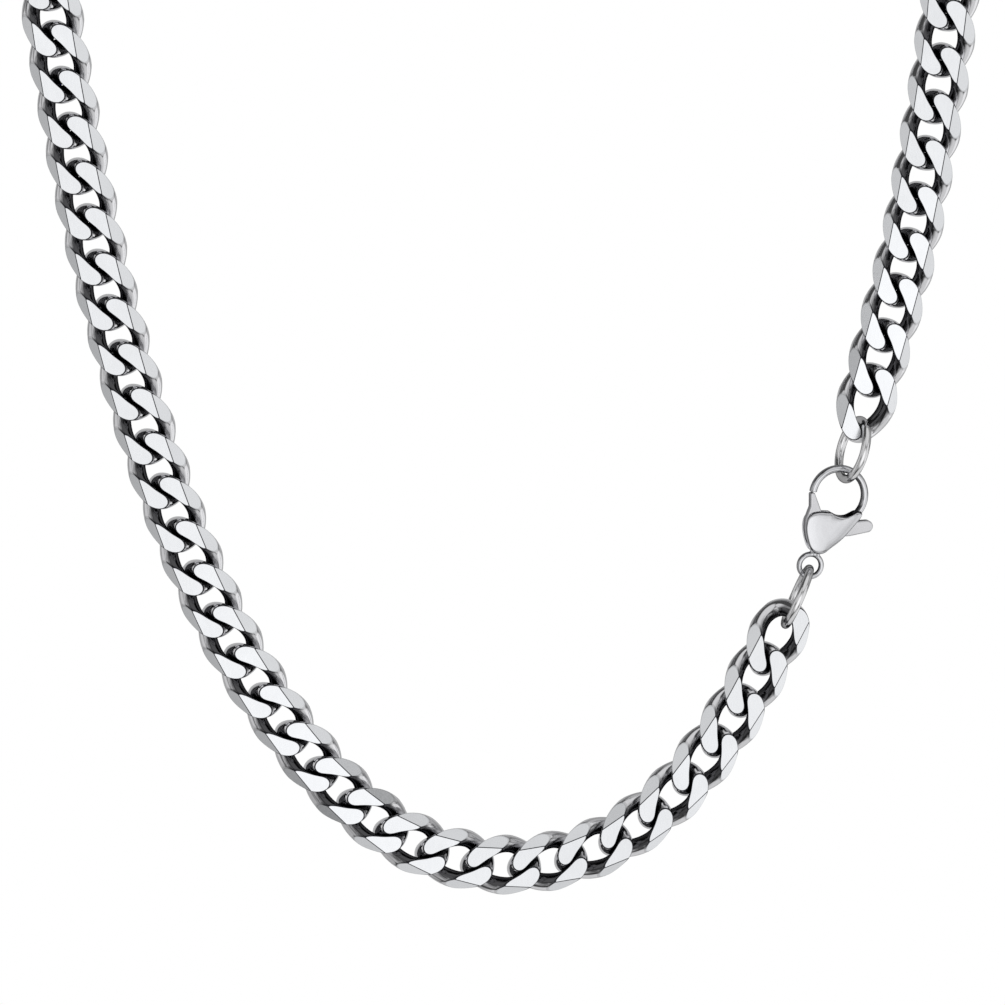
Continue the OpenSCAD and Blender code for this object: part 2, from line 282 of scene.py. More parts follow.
def steel(name, tone, roughness, grain_scale, grain_depth, stretch=(1, 1, 1), spread=0.04,
          edge=0.8):
    """A polished metal. Its tone drifts by the spread, a fine grain lies in its bump, and edge
    is the tint of its shine where it is seen at a glancing angle."""
    material = bpy.data.materials.new(name)
    material.use_nodes = True
    tree = material.node_tree
    tree.nodes.clear()
    place = add_node(tree, "ShaderNodeTexCoord").outputs["Object"]
    stretched = add_node(tree, "ShaderNodeMapping", Vector=place, Scale=stretch).outputs[0]
    drift = add_node(tree, "ShaderNodeTexNoise", Vector=place, Scale=DRIFT_SCALE,
                     Detail=3.0).outputs["Fac"]
    grain = add_node(tree, "ShaderNodeTexNoise", Vector=stretched, Scale=grain_scale, Detail=4.0,
                     Roughness=0.6).outputs["Fac"]
    dark = [c * (1 - spread) for c in tone]
    light = [min(1, c * (1 + spread)) for c in tone]
    colour = mix_colour(tree, drift, (*dark, 1), (*light, 1))
    rough = add_node(tree, "ShaderNodeMapRange", Value=grain,
                     To_Min=roughness * (1 - ROUGHNESS_SWING),
                     To_Max=roughness * (1 + ROUGHNESS_SWING)).outputs[0]
    bump = add_node(tree, "ShaderNodeBump", Height=grain, Strength=grain_depth,
                    Distance=GRAIN_RELIEF).outputs[0]
    shader = add_node(tree, "ShaderNodeBsdfPrincipled", Base_Color=colour, Roughness=rough,
                      Normal=bump, Metallic=1.0, Specular_Tint=(edge, edge, edge, 1))
    add_node(tree, "ShaderNodeOutputMaterial", Surface=shader.outputs[0])
    return material


bent_wire_steel = steel("bent_wire_steel", (0.87, 0.87, 0.89), roughness=0.1, grain_scale=900.0,
                        grain_depth=0.25)
print(bent_wire_steel.name, "has", len(bent_wire_steel.node_tree.nodes), "nodes so far")

# %% Mix the other steels
ground_steel = steel("ground_steel", (0.915, 0.93, 0.955), roughness=0.22, grain_scale=2600.0,
                     grain_depth=0.35, stretch=(1, 1, 0.3))
ring_wire_steel = steel("ring_wire_steel", (0.88, 0.88, 0.89), roughness=0.14, grain_scale=900.0,
                        grain_depth=0.3, spread=0.08, edge=0.1)
cast_steel = steel("cast_steel", (0.78, 0.785, 0.81), roughness=0.14, grain_scale=1200.0,
                   grain_depth=0.25, spread=0.07, edge=0.7)
lever_steel = steel("lever_steel", (0.70, 0.70, 0.72), roughness=0.18, grain_scale=1200.0,
                    grain_depth=0.25, spread=0.1, edge=0.1)
finishes = (bent_wire_steel, ground_steel, ring_wire_steel, cast_steel, lever_steel)
print("finishes:", ", ".join(finish.name for finish in finishes))

# %% [markdown]
# ## Dark lines and hollows
# The edges of polished steel show as fine black lines, because their narrow rounding mirrors
# the dark parts of the room. The inside of each link is dark as well, with streaks that run
# along the wire, because it lies in shade and mirrors the dark room. Here these dark
# reflections and this shade are painted into the colour. Bevels of a few hundredths of a
# millimetre on 80 links would take very many faces. So every point of a link carries two
# attributes instead: "wire" is its place in the wire's section and along the wire, and "cut"
# is its place in the whole link. The shader works out from them how far a point is from each
# edge, and paints the steel darker there. The clasp is simpler: its attribute "recess" says
# outright how much painted shade a point gets.

# %% Paint shade into the clasp's hollows
# Colour of the painted shade and the painted dark reflections on the steel
PAINTED_SHADE_TONE = (0.10, 0.10, 0.105)


def read_attribute(tree, name, output="Vector"):
    return add_node(tree, "ShaderNodeAttribute", {"attribute_name": name}).outputs[output]


def repaint(material, mask, under):
    """Paints shade and dark reflections into the steel: shows a darker colour where the mask is 0, and
    dulls the glancing shine there.
    """
    tree = material.node_tree
    shader = next(n for n in tree.nodes if n.type == "BSDF_PRINCIPLED")
    for name in ("Base Color", "Specular Tint"):
        socket = shader.inputs[name]
        over = socket.links[0].from_socket if socket.is_linked else tuple(socket.default_value)
        tree.links.new(mix_colour(tree, mask, (*under, 1), over), socket)


# The clasp's steel gets painted shade, as much as its attribute says
tree = cast_steel.node_tree
outside_painted_shade = node_math(tree, "SUBTRACT", 1.0, read_attribute(tree, "recess", "Fac"))
repaint(cast_steel, outside_painted_shade, PAINTED_SHADE_TONE)
print(len(tree.nodes), "nodes in", cast_steel.name)

# %% Paint shade and streaky dark reflections inside the bent wire
STREAK_SCALE = 3.2
STREAK_STRETCH = (1, 1, 0.16)
STREAK_REACH = 1.6
INNER_SIDE = (0.5, 1.45)


def split(tree, vector):
    """The X, Y and Z of a vector, each as a socket of its own."""
    return add_node(tree, "ShaderNodeSeparateXYZ", Vector=vector).outputs


tree = bent_wire_steel.node_tree
wire_place = read_attribute(tree, "wire")
drawn_out = add_node(tree, "ShaderNodeMapping", Vector=wire_place, Scale=STREAK_STRETCH).outputs[0]
streak = add_node(tree, "ShaderNodeTexNoise", Vector=drawn_out, Scale=STREAK_SCALE, Detail=4.0,
                  Roughness=0.65).outputs["Fac"]
ragged = node_math(tree, "MULTIPLY_ADD", streak, STREAK_REACH, split(tree, wire_place)["X"])
# Paints shade and streaky dark reflections on the inner side of the wire
repaint(bent_wire_steel, smooth_step(tree, ragged, *INNER_SIDE), PAINTED_SHADE_TONE)
print("the streaks are", round(1 / STREAK_STRETCH[2], 1), "times as long as they are wide")

# %% Paint dark reflection lines along the edges of the bent wire
LINE = 0.15
EDGE_LINE = (LINE * 0.6, LINE)
# Colour of the painted dark reflection along an edge
PAINTED_LINE_TONE = (0.03, 0.03, 0.035)
FADE_LENGTH = 0.9
FADE_SHARE = 0.8


def place_in_link(tree):
    """Distances from the link's middle planes, and from the crease beside its flat face."""
    folded = add_node(tree, "ShaderNodeVectorMath", {"operation": "ABSOLUTE"},
                      i0=read_attribute(tree, "cut"))
    place = split(tree, folded.outputs[0])
    return place, node_math(tree, "SUBTRACT", place["Y"], FLAT_W / 2)


def softened(tree, mask, from_crease):
    """Lets a painted dark line fade out along the bevel, where the polish has rounded its edge."""
    fade = node_math(tree, "MULTIPLY", smooth_step(tree, from_crease, 0.0, FADE_LENGTH), FADE_SHARE)
    return node_math(tree, "MAXIMUM", mask, fade)


place, from_crease = place_in_link(tree)
to_flat = node_math(tree, "SUBTRACT", CHAIN_T / 2, place["Z"])
lean = node_math(tree, "MULTIPLY", from_crease, -math.sin(BEVEL_SLOPE))
to_bevel = node_math(tree, "MULTIPLY_ADD", to_flat, math.cos(BEVEL_SLOPE), lean)
to_edge = node_math(tree, "MINIMUM", to_flat, to_bevel)
edge_line = smooth_step(tree, to_edge, *EDGE_LINE)
repaint(bent_wire_steel, softened(tree, edge_line, from_crease), PAINTED_LINE_TONE)
print("edge lines of", LINE, "mm,", len(tree.nodes), "nodes in", bent_wire_steel.name)

# %% Paint dark reflection lines round the ground faces
FINE_LINE = (LINE * 0.3, LINE * 0.6)

tree = ground_steel.node_tree
section = split(tree, read_attribute(tree, "wire"))
squares = [node_math(tree, "MULTIPLY", section[axis], section[axis]) for axis in ("X", "Y")]
from_core = node_math(tree, "SQRT", node_math(tree, "ADD", *squares))
to_rim = node_math(tree, "SUBTRACT", WIRE_D / 2, from_core)
_, from_crease = place_in_link(tree)
rim_line = smooth_step(tree, to_rim, *FINE_LINE)
repaint(ground_steel, softened(tree, rim_line, from_crease), PAINTED_LINE_TONE)
crease_line = smooth_step(tree, node_math(tree, "ABSOLUTE", from_crease), *FINE_LINE)
repaint(ground_steel, crease_line, PAINTED_LINE_TONE)
print("fine lines of", round(LINE * 0.6, 3), "mm,", len(tree.nodes), "nodes in", ground_steel.name)

# %% [markdown]
# ## One link
# A curb link starts as round wire wound into an oval. Its two ends are then twisted against
# each other until the link lies flat inside its neighbours, and the finished chain is ground
# on both faces. A curve with a bevel could draw the wire, but its section would turn in ways
# that are hard to control. So the model does what the maker does: a circle is spun into a
# ring, every point of the ring is carried to the twisted oval, and six planes grind it. Each
# of the two flat ones meets both long sides of the link, so eight ground faces come out.

# %% The middle of the bent wire
ANGLE_NUDGE = math.radians(1)


def power(value, exponent):
    return math.copysign(abs(value) ** exponent, value)


def wire_middle(angle):
    """Middle of the wire at an angle round the oval, turned about X as far as x has run."""
    x = OVAL_A * power(math.cos(angle), 2 / OVAL_POWER)
    y = OVAL_B * power(math.sin(angle), 2 / OVAL_POWER)
    turn = -END_TWIST * x / OVAL_A
    return Vector((x, y * math.cos(turn), y * math.sin(turn)))


def wire_frame(angle):
    """Directions out of the oval and over it, square to the wire."""
    ahead = (wire_middle(angle + ANGLE_NUDGE) - wire_middle(angle - ANGLE_NUDGE)).normalized()
    out = Vector((ahead.y, -ahead.x, 0)).normalized()
    return out, out.cross(ahead)


round_the_oval = [wire_middle(math.radians(degree)) for degree in range(361)]
wire_length = sum((b - a).length for a, b in zip(round_the_oval, round_the_oval[1:]))
print("the wire of one link is", round(wire_length, 1), "mm long")

# %% Spin a ring of wire
RING_SECTIONS = 72
WIRE_SIDES = 24


def spun_ring(radius, wire_radius, sections, wire_sides):
    """A closed ring of round wire about Z."""
    shape = bmesh.new()
    upright = Matrix.Translation((radius, 0, 0)) @ Matrix.Rotation(math.pi / 2, 4, "X")
    bmesh.ops.create_circle(shape, segments=wire_sides, radius=wire_radius, matrix=upright)
    bmesh.ops.spin(shape, geom=shape.verts[:] + shape.edges[:], cent=(0, 0, 0), axis=(0, 0, 1),
                   angle=2 * math.pi, steps=sections, use_merge=True)
    bmesh.ops.recalc_face_normals(shape, faces=shape.faces)
    return shape


link_shape = spun_ring(OVAL_A, WIRE_D / 2, RING_SECTIONS, WIRE_SIDES)
print("ring of wire:", len(link_shape.faces), "faces")

# %% Bend and twist it
wire_at = link_shape.verts.layers.float_vector.new("wire")
for vert in link_shape.verts:
    angle = math.atan2(vert.co.y, vert.co.x)
    middle = wire_middle(angle)
    out, over = wire_frame(angle)
    beyond = math.hypot(vert.co.x, vert.co.y) - OVAL_A
    along = middle.x + middle.y / 2
    vert[wire_at] = (beyond, vert.co.z, along)
    vert.co = middle + beyond * out + vert.co.z * over
height = max(vert.co.z for vert in link_shape.verts) - min(vert.co.z for vert in link_shape.verts)
print("twisted link:", round(height, 2), "mm high, before it is ground")

# %% Grind its faces
SNAP = 1e-5
GROUND = 1


def grind(shape, point, outward):
    """Cuts the shape off beyond a plane and closes the cut with ground faces."""
    cut = bmesh.ops.bisect_plane(shape, geom=shape.verts[:] + shape.edges[:] + shape.faces[:],
                                 plane_co=point, plane_no=outward, clear_outer=True, dist=SNAP)
    rim = [g for g in cut["geom_cut"] if isinstance(g, bmesh.types.BMEdge)]
    bmesh.ops.edgeloop_fill(shape, edges=rim, mat_nr=GROUND)


for front in (-1, 1):
    grind(link_shape, (0, 0, front * CHAIN_T / 2), (0, 0, front))
    for side in (-1, 1):
        grind(link_shape, (0, side * FLAT_W / 2, front * CHAIN_T / 2),
              (0, side * math.sin(BEVEL_SLOPE), front * math.cos(BEVEL_SLOPE)))
print(sum(face.material_index == GROUND for face in link_shape.faces), "ground faces on a link")

# %% Keep the finished link
cut_at = link_shape.verts.layers.float_vector.new("cut")
for vert in link_shape.verts:
    vert[cut_at] = vert.co
for face in link_shape.faces:
    face.smooth = face.material_index != GROUND
many_sided = [face for face in link_shape.faces if len(face.verts) > 4]
bmesh.ops.triangulate(link_shape, faces=many_sided)
bmesh.ops.scale(link_shape, vec=(MM, MM, MM), verts=link_shape.verts)
link_mesh = bpy.data.meshes.new("curb_link")
link_shape.to_mesh(link_mesh)
link_shape.free()
link_mesh.calc_loop_triangles()
print("one link:", len(link_mesh.loop_triangles), "triangles")

# %% [markdown]
# ## The chain
# Every link of the CAD chain is a loose solid, so its place can be read from the model. A
# link is long, then wide, then thin, and looks the same after half a turn about each of
# these lines. So the three main directions of its points give its frame exactly, whichever
# way round they come out. The fine link is stamped once into each frame. An array along a
# curve would be shorter to write, but it would not follow the places of the solids.

# %% Take the CAD chain apart
SAME_POINT = 1e-3 * MM


def loose_solids(node):
    """The vertices of each loose solid in a CAD node, as an array of points."""
    shape = bmesh.new()
    shape.from_mesh(frame["nodes"][node].data)
    bmesh.ops.remove_doubles(shape, verts=shape.verts, dist=SAME_POINT)
    left = set(shape.verts)
    solids = []
    for seed in shape.verts:
        if seed not in left:
            continue
        left.discard(seed)
        island = [seed]
        for vert in island:
            for edge in vert.link_edges:
                other = edge.other_vert(vert)
                if other in left:
                    left.discard(other)
                    island.append(other)
        solids.append(np.array([v.co for v in island]))
    shape.free()
    return solids


link_solids = {run: loose_solids(run) for run in ("chain_front", "chain_back")}
print("links:", {run: len(solids) for run, solids in link_solids.items()})

# %% Read where each link lies
def main_frame(points):
    """Frame of a solid: X along its longest direction and Z along its thinnest."""
    middle = points.mean(0)
    _, axes = np.linalg.eigh(np.cov((points - middle).T))
    x, z = Vector(axes[:, 2]), Vector(axes[:, 0])
    y = z.cross(x)
    turn = Matrix((x, y, z)).transposed().to_4x4()
    return Matrix.Translation(Vector(middle)) @ turn


link_places = {run: [main_frame(points) for points in solids]
               for run, solids in link_solids.items()}
for run, places in link_places.items():
    print("first link of", run, "at", [round(c / MM, 1) for c in places[0].translation], "mm")

# %% Stamp the links
def new_piece(name, shape, materials, body="necklace", replaces=()):
    """Turns a bmesh in the row frame into a finished piece that rides on a CAD body."""
    mesh = bpy.data.meshes.new(name)
    shape.to_mesh(mesh)
    shape.free()
    for material in materials:
        mesh.materials.append(material)
    piece = bpy.data.objects.new(name, mesh)
    bpy.context.scene.collection.objects.link(piece)
    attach(piece, body)
    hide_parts(*replaces)
    return piece


for run, places in link_places.items():
    chain = bmesh.new()
    for placed in places:
        first = len(chain.verts)
        chain.from_mesh(link_mesh)
        chain.verts.ensure_lookup_table()
        bmesh.ops.transform(chain, matrix=placed, verts=chain.verts[first:])
    stamped = new_piece(run + "_links", chain, [bent_wire_steel, ground_steel],
                        replaces=[run])
    stamped.data.calc_loop_triangles()
    print(run, len(places), "links,", len(stamped.data.loop_triangles), "triangles")

# %% [markdown]
# ## Jump rings
# Each jump ring is round wire in a circle. Its radius, wire and tilt are all read from its
# CAD solid. In the photograph both rings have swung a little further edge-on to the lens, so
# each is turned by a few degrees about the line on which it hangs.

# %% Spin the jump rings
JUMP_RING_SECTIONS = 128
JUMP_RING_SIDES = 32
RING_SWINGS = {"jump_ring_upper": -5, "jump_ring_lower": -4}

for node, swing in RING_SWINGS.items():
    points = np.array([v.co for v in frame["nodes"][node].data.vertices])
    placed = main_frame(points)
    local = np.array([placed.inverted() @ Vector(p) for p in points])
    wire_radius = np.abs(local[:, 2]).max()
    ring_radius = np.hypot(local[:, 0], local[:, 1]).max() - wire_radius
    ring = spun_ring(ring_radius, wire_radius, JUMP_RING_SECTIONS, JUMP_RING_SIDES)
    normal = placed.to_3x3() @ Vector((0, 0, 1))
    hang = (Vector((0, 0, 1)) - normal * normal.z).normalized()
    ring_place = (Matrix.Translation(placed.translation)
                  @ Matrix.Rotation(math.radians(swing), 4, hang) @ placed.to_3x3().to_4x4())
    bmesh.ops.transform(ring, matrix=ring_place, verts=ring.verts)
    for face in ring.faces:
        face.smooth = True
    new_piece(node + "_wire", ring, [ring_wire_steel], replaces=[node])
    print(node, "radius", round(ring_radius / MM, 2), "wire", round(2 * wire_radius / MM, 2), "mm")

# %% [markdown]
# ## Lobster clasp
# The real clasp is cast in one piece: two plates with a slot between them, the hook, a neck
# and the tail eye. Its parts are made here in millimetres about the middle of the tail eye:
# X across the clasp, Z up along it, Y through it. One matrix then carries them to their
# place. It follows from the hidden pin, because the CAD model says where that is.

# %% Where the clasp lies
CLASP_LEAN = math.radians(17.3)
EYE_R = 1.45
EYE_RIM = 0.7
FACE_W = 8.6
FACE_L = 8.2


def on_face(across, up):
    """A point of the clasp's front plane from its shares of the face's width and length."""
    return across * FACE_W, EYE_R + EYE_RIM + up * FACE_L


PIVOT = on_face(-0.163, 0.311)
pin_middle = sum(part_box("lever_pin"), Vector()) / 2
clasp_turn = Matrix.Rotation(CLASP_LEAN, 4, "Y")
clasp_place = (Matrix.Translation(pin_middle) @ clasp_turn
               @ Matrix.Translation(-Vector((PIVOT[0], 0, PIVOT[1])) * MM) @ Matrix.Scale(MM, 4))
print("tail eye at", [round(c / MM, 2) for c in clasp_place.translation], "mm")

# %% [markdown]
# ## Outlines of the clasp's body
# Seen from the front, the body is a leaf: narrow at the neck and wide at the shoulder, with a
# round dish in its top, where the jump ring lies. Its outline could be drawn as a curve by
# hand. Points given as shares of the face's width and length do the same in code, and the
# whole body can be resized by two numbers. A smooth line is laid through the points. The
# bridge is the metal under the hook's root, which runs from one plate to the other.

# %% Lay a line through the body's points
BODY_STEPS = 8
BODY_RELAXING = 24
BODY_SHARES = [(-0.093, 0.006), (0.128, 0.006), (0.209, 0.128), (0.314, 0.262), (0.413, 0.409),
               (0.488, 0.567), (0.558, 0.726), (0.628, 0.884), (0.64, 0.982), (0.535, 1),
               (0.047, 0.835), (-0.105, 0.811), (-0.256, 0.75), (-0.337, 0.665), (-0.36, 0.543),
               (-0.326, 0.372), (-0.221, 0.177)]


def smooth_loop(points, steps):
    """A smooth closed line through the points, as a chain of cubic curves."""
    loop = []
    count = len(points)
    for i in range(count):
        before, start, end, after = (Vector(points[(i + k) % count]) for k in (-1, 0, 1, 2))
        for step in range(steps):
            t = step / steps
            loop.append(start + 0.5 * t * (end - before + t * (
                2 * before - 5 * start + 4 * end - after + t * (3 * (start - end) + after - before))))
    return loop


def relaxed(loop, passes):
    """Evens out a closed line by moving every point halfway to its neighbours' middle."""
    for _ in range(passes):
        loop = [(loop[i - 1] + 2 * point + loop[(i + 1) % len(loop)]) / 4
                for i, point in enumerate(loop)]
    return loop


body_points = smooth_loop([on_face(*point) for point in BODY_SHARES], BODY_STEPS)
body_points = relaxed(body_points, BODY_RELAXING)
print("body outline:", len(body_points), "points")

# %% Press the dish into the outlines
HOOK_CENTRE = (1.1, 11.9)
HOOK_R = 4.25
HOOK_ACROSS = 1.05
DISH_R = HOOK_R - HOOK_ACROSS
DISH_ASIDE = 0.25
DISH_ABOVE = 0.03
DISH_CENTRE = Vector((HOOK_CENTRE[0] + DISH_ASIDE * DISH_R, HOOK_CENTRE[1] + DISH_ABOVE * DISH_R))
BRIDGE_STEPS = 4
BRIDGE_SHARES = [(0.18, 0.713), (0.4, 0.793), (0.61, 0.87), (0.62, 0.97), (0.535, 0.99), (0.4, 0.9),
                 (0.28, 0.85), (0.16, 0.83)]


def dished(loop):
    """Pushes points out of the round dish in the body's top."""
    out = []
    for point in loop:
        offset = Vector(point) - DISH_CENTRE
        out.append(DISH_CENTRE + offset.normalized() * max(offset.length, DISH_R))
    return out


body_loop = dished(body_points)
bridge_loop = dished(smooth_loop([on_face(*point) for point in BRIDGE_SHARES], BRIDGE_STEPS))
print("dish radius", DISH_R, "mm, bridge outline:", len(bridge_loop), "points")

# %% [markdown]
# ## Plates, bridge and neck
# Each plate is flat towards the slot and softly domed outside, as its polishing left it.
# The outline becomes a face, which is extruded in small steps that shrink as they rise. A
# bevel of the whole rim would fold over itself in the dish. The bridge and the neck are a
# straight extrusion and a cone. They reach into the plates, and melt into them later.

# %% Helpers for the casting's parts
SAME_PLACE = 1e-4
body_parts = []


def plan_face(shape, loop, depth):
    """A flat face with the given outline, at a depth through the clasp."""
    verts = [shape.verts.new((u, depth, w)) for u, w in loop]
    return shape.faces.new(verts)


def raised(shape, faces, keep):
    """Extrudes faces on the spot, and gives the new vertices and the new face."""
    made = bmesh.ops.extrude_face_region(shape, geom=faces, use_keep_orig=keep)["geom"]
    return ([g for g in made if isinstance(g, bmesh.types.BMVert)],
            next(g for g in made if isinstance(g, bmesh.types.BMFace)))


def add_part(shape):
    """Closes a part of the body and keeps it for the melting."""
    bmesh.ops.remove_doubles(shape, verts=shape.verts, dist=SAME_PLACE)
    bmesh.ops.recalc_face_normals(shape, faces=shape.faces)
    mesh = bpy.data.meshes.new("clasp_part")
    shape.to_mesh(mesh)
    shape.free()
    body_parts.append(mesh)


print("points of a part that lie within", SAME_PLACE, "mm become one")

# %% Raise the plates
SLOT_T = 1.61
# Depth and size of the plate's layers, from its wall over the rounded rim to the flat dome
DOME = [(0.98, 1.0), (1.14, 0.99), (1.27, 0.965), (1.36, 0.925), (1.42, 0.86), (1.46, 0.76),
        (1.485, 0.6), (1.5, 0.35)]
DOME_MIDDLE = on_face(0.08, 0.55)


def plate(side):
    """One plate of the body: flat toward the slot and softly domed outside."""
    shape = bmesh.new()
    inner = plan_face(shape, body_loop, side * SLOT_T / 2)
    face = inner
    size = 1.0
    for depth, next_size in DOME:
        verts, face = raised(shape, [face], keep=face is inner)
        bmesh.ops.translate(shape, vec=(0, side * depth - verts[0].co.y, 0), verts=verts)
        bmesh.ops.scale(shape, vec=(next_size / size, 1, next_size / size), verts=verts,
                        space=Matrix.Translation((-DOME_MIDDLE[0], 0, -DOME_MIDDLE[1])))
        size = next_size
    return shape


for side in (-1, 1):
    add_part(plate(side))
print("plates:", [len(mesh.polygons) for mesh in body_parts], "faces")

# %% Join them by the bridge and the neck
BRIDGE_BITE = 0.1
NECK_R = 0.72
SHOULDER_R = 1.3
NECK_L = 2.3
NECK_ASIDE = 0.17
NECK_RISE = 0.2
NECK_SIDES = 48

bridge = bmesh.new()
bridge_face = plan_face(bridge, bridge_loop, -SLOT_T / 2 - BRIDGE_BITE)
far_side, _ = raised(bridge, [bridge_face], keep=True)
bmesh.ops.translate(bridge, vec=(0, SLOT_T + 2 * BRIDGE_BITE, 0), verts=far_side)
add_part(bridge)

neck_middle = (NECK_ASIDE, 0, EYE_R + NECK_RISE + NECK_L / 2)
neck = bmesh.new()
bmesh.ops.create_cone(neck, cap_ends=True, segments=NECK_SIDES, radius1=NECK_R, radius2=SHOULDER_R,
                      depth=NECK_L, matrix=Matrix.Translation(neck_middle))
add_part(neck)
print(len(body_parts), "parts so far")

# %% [markdown]
# ## Hook and tail eye
# Both are wires of oval section that bend in the clasp's front plane. An oval circle is spun
# about their middle: a part of a turn with closed ends for the hook, and a whole turn with
# its ends merged for the eye. The melting below thins such wires by about a tenth of a
# millimetre, so they start thicker by that much.

# %% Bend the hook and the eye
CAST_GAIN = 0.12
EYE_DEPTH = 1.2
EYE_STEPS = 96
HOOK_DEPTH = 1.6
HOOK_ROOT = math.radians(-35)
HOOK_END = math.radians(187.3)
HOOK_STEPS = 110
SECTION_SIDES = 32
WHOLE_TURN = 2 * math.pi


def swept_oval(centre, radius, across, depth, start, sweep, steps):
    """A wire of oval section bent round a centre in the front plane."""
    shape = bmesh.new()
    closes = sweep == WHOLE_TURN
    section = (Matrix.Rotation(-start, 4, "Y") @ Matrix.Translation((radius, 0, 0))
               @ Matrix.Diagonal((across / 2, depth / 2, 1, 1)))
    circle = bmesh.ops.create_circle(shape, cap_ends=not closes, segments=SECTION_SIDES, radius=1,
                                     matrix=section)["verts"]
    geom = circle + list({e for v in circle for e in v.link_edges})
    geom += list({f for v in circle for f in v.link_faces})
    bmesh.ops.spin(shape, geom=geom, cent=(0, 0, 0), axis=(0, -1, 0), angle=sweep, steps=steps,
                   use_merge=closes)
    bmesh.ops.translate(shape, vec=(centre[0], 0, centre[1]), verts=shape.verts)
    return shape


add_part(swept_oval(HOOK_CENTRE, HOOK_R, HOOK_ACROSS + CAST_GAIN, HOOK_DEPTH, HOOK_ROOT,
                    HOOK_END - HOOK_ROOT, HOOK_STEPS))
add_part(swept_oval((0, 0), EYE_R + EYE_RIM / 2, EYE_RIM + CAST_GAIN, EYE_DEPTH, 0, WHOLE_TURN,
                    EYE_STEPS))
print(len(body_parts), "parts of the clasp body")

# %% [markdown]
# ## One skin for the casting
# Casting leaves soft inner corners, and polishing rounds every edge. Boolean unions would
# keep all corners hard, and a bevel on their ragged edges often fails. A voxel remesh wraps
# all parts in one skin instead, and a little smoothing gives the cast look.

# %% Melt the body into one skin
VOXEL = 0.075
POLISH_FACTOR = 0.5
POLISH_PASSES = 8

parts_shape = bmesh.new()
for mesh in body_parts:
    parts_shape.from_mesh(mesh)
parts_mesh = bpy.data.meshes.new("clasp_body_parts")
parts_shape.to_mesh(parts_mesh)
parts_shape.free()
cast = bpy.data.objects.new("clasp_body_parts", parts_mesh)
bpy.context.scene.collection.objects.link(cast)
skin = cast.modifiers.new("skin", "REMESH")
skin.mode = "VOXEL"
skin.voxel_size = VOXEL
polish = cast.modifiers.new("polish", "SMOOTH")
polish.factor = POLISH_FACTOR
polish.iterations = POLISH_PASSES
bpy.context.view_layer.update()
skinned = cast.evaluated_get(bpy.context.evaluated_depsgraph_get()).to_mesh()
body_shape = bmesh.new()
body_shape.from_mesh(skinned)
bpy.data.objects.remove(cast)
print("skin:", len(body_shape.faces), "faces")

# %% [markdown]
# ## Painted shade in the clasp's hollows
# The dish, the slot and the inner sides of the hook and the eye lie in shade and mirror the
# dark room, so they look darker. This shade is painted into the colour, with painted dark
# outlines on the flanks of the hook and the eye and on the plates' rims. Ambient occlusion
# would find hollows by itself, but it costs time in every render and blurs them. Here each
# point of the skin gets a number from its place and its slant, which the clasp's finish reads
# as the attribute "recess".

# %% Paint shade into the dish and the top of the slot
BODY_T = 3.0
# Each pair says where the painted shade starts and where it is full, in mm or by the slant's cosine
DISH_EDGE = (0.192, 0.072)
DISH_FALL = 0.8
LEDGE_SLANT = (0.3, 0.6)
LEDGE_BOTTOM = 8.0
LEDGE_TOP = 10.7
UNDER_THE_DOME = (BODY_T / 2 - 0.1, BODY_T / 2 - 0.3)


def share(value, start, end):
    """How far a value has come from start to end, kept between 0 and 1."""
    return min(1, max(0, (value - start) / (end - start)))


def hollow_painted_shade(place, normal):
    """Painted shade in the dish and on the ledge over the slot, with none on the domes."""
    off_dish = (Vector((place.x, place.z)) - DISH_CENTRE).length - DISH_R
    in_dish = share(off_dish, *DISH_EDGE) * share(place.z, DISH_CENTRE.y, DISH_CENTRE.y - DISH_FALL)
    on_ledge = share(normal.z, *LEDGE_SLANT) * (LEDGE_BOTTOM < place.z < LEDGE_TOP)
    return max(in_dish, on_ledge) * share(abs(place.y), *UNDER_THE_DOME)


dark_points = sum(hollow_painted_shade(vert.co, vert.normal) > 0 for vert in body_shape.verts)
print("dish and ledge:", dark_points, "darkened points")

# %% Paint shade and dark outlines on the flanks of the hook and the eye
# The hook is the band round its circle that lies above its foot, or above its heel outside
HOOK_BAND = 0.75
HOOK_FOOT = 10.9
HOOK_HEEL = (4.2, 9.6)
EYE_MARGIN = 0.1
OUTER_FLANK_SHADE = 0.5
INNER_FLANK_SHADE = 0.9
FLANK_SLANT = (0.8, 0.45)


def flank_painted_shade(place, facing):
    """Painted shade and dark outline on the hook's and the eye's flanks, or None where neither of them
    is.
    """
    off_hook = math.hypot(place.x - HOOK_CENTRE[0], place.z - HOOK_CENTRE[1]) - HOOK_R
    off_eye = math.hypot(place.x, place.z) - EYE_R - EYE_RIM / 2
    above_body = place.z > HOOK_FOOT or (place.x > HOOK_HEEL[0] and place.z > HOOK_HEEL[1])
    if abs(off_hook) < HOOK_BAND and above_body:
        off_wire = off_hook
    elif off_eye < EYE_RIM / 2 + EYE_MARGIN:
        off_wire = off_eye
    else:
        return None
    return (OUTER_FLANK_SHADE if off_wire > 0 else INNER_FLANK_SHADE) * share(facing, *FLANK_SLANT)


on_wires = sum(flank_painted_shade(vert.co, abs(vert.normal.y)) is not None for vert in body_shape.verts)
print("hook and eye:", on_wires, "of", len(body_shape.verts), "points")

# %% Paint dark lines on the plates' rims and keep the painted shade
RIM_LINE_DARKNESS = 0.85
RIM_FROM_WALL = (0.3, 0.5)
RIM_FROM_FACE = (0.9, 0.7)
RIM_DEPTH = (1.0, 1.15)


def rim_painted_line(place, facing):
    """Painted dark reflection on the narrow band where a plate's wall turns into its face."""
    return (RIM_LINE_DARKNESS * share(facing, *RIM_FROM_WALL) * share(facing, *RIM_FROM_FACE)
            * share(abs(place.y), *RIM_DEPTH))


